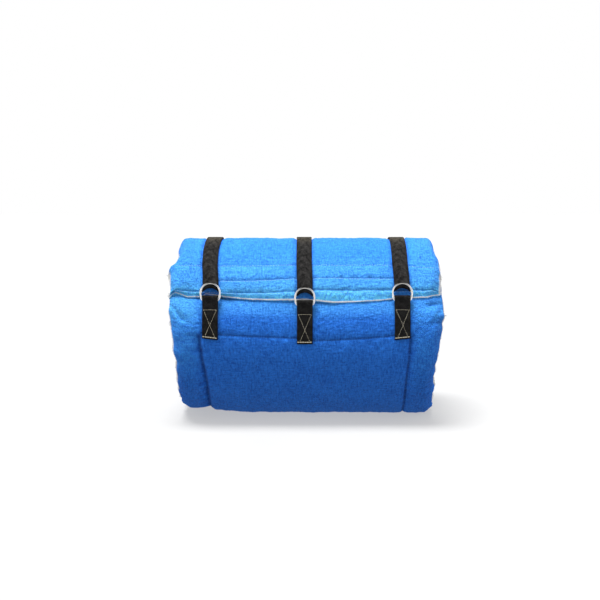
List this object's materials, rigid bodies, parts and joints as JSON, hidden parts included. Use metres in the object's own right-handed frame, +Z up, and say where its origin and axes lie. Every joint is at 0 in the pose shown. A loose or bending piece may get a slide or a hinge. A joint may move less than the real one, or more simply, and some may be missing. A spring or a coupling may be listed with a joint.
{
  "type": "pipe welding sleeve",
  "caption": "Quilted insulating sleeve that wraps round a pipe at a weld, with an overlapping flap held shut by webbing straps through paired D-rings.",
  "frame": {"origin": "centre of the flat underside that the sleeve lies on, straight below the middle of the pipe axis", "axes": "+X along the pipe axis, -Y out of the closure with the rings, +Z up"},
  "size_m": [0.4678, 0.3149, 0.31],
  "materials": {
    "blue_cloth": "matte woven cloth with a little nap",
    "webbing": "matte woven webbing",
    "ring_steel": "bright nickel-plated wire"
  },
  "bodies": {
    "root": {"insulated_wrap": "blue_cloth", "strap_left": "webbing", "strap_middle": "webbing", "strap_right": "webbing", "tab_left": "webbing", "tab_middle": "webbing", "tab_right": "webbing", "d_ring_left_inner": "ring_steel", "d_ring_left_outer": "ring_steel", "d_ring_middle_inner": "ring_steel", "d_ring_middle_outer": "ring_steel", "d_ring_right_inner": "ring_steel", "d_ring_right_outer": "ring_steel"}
  },
  "joints": []
}
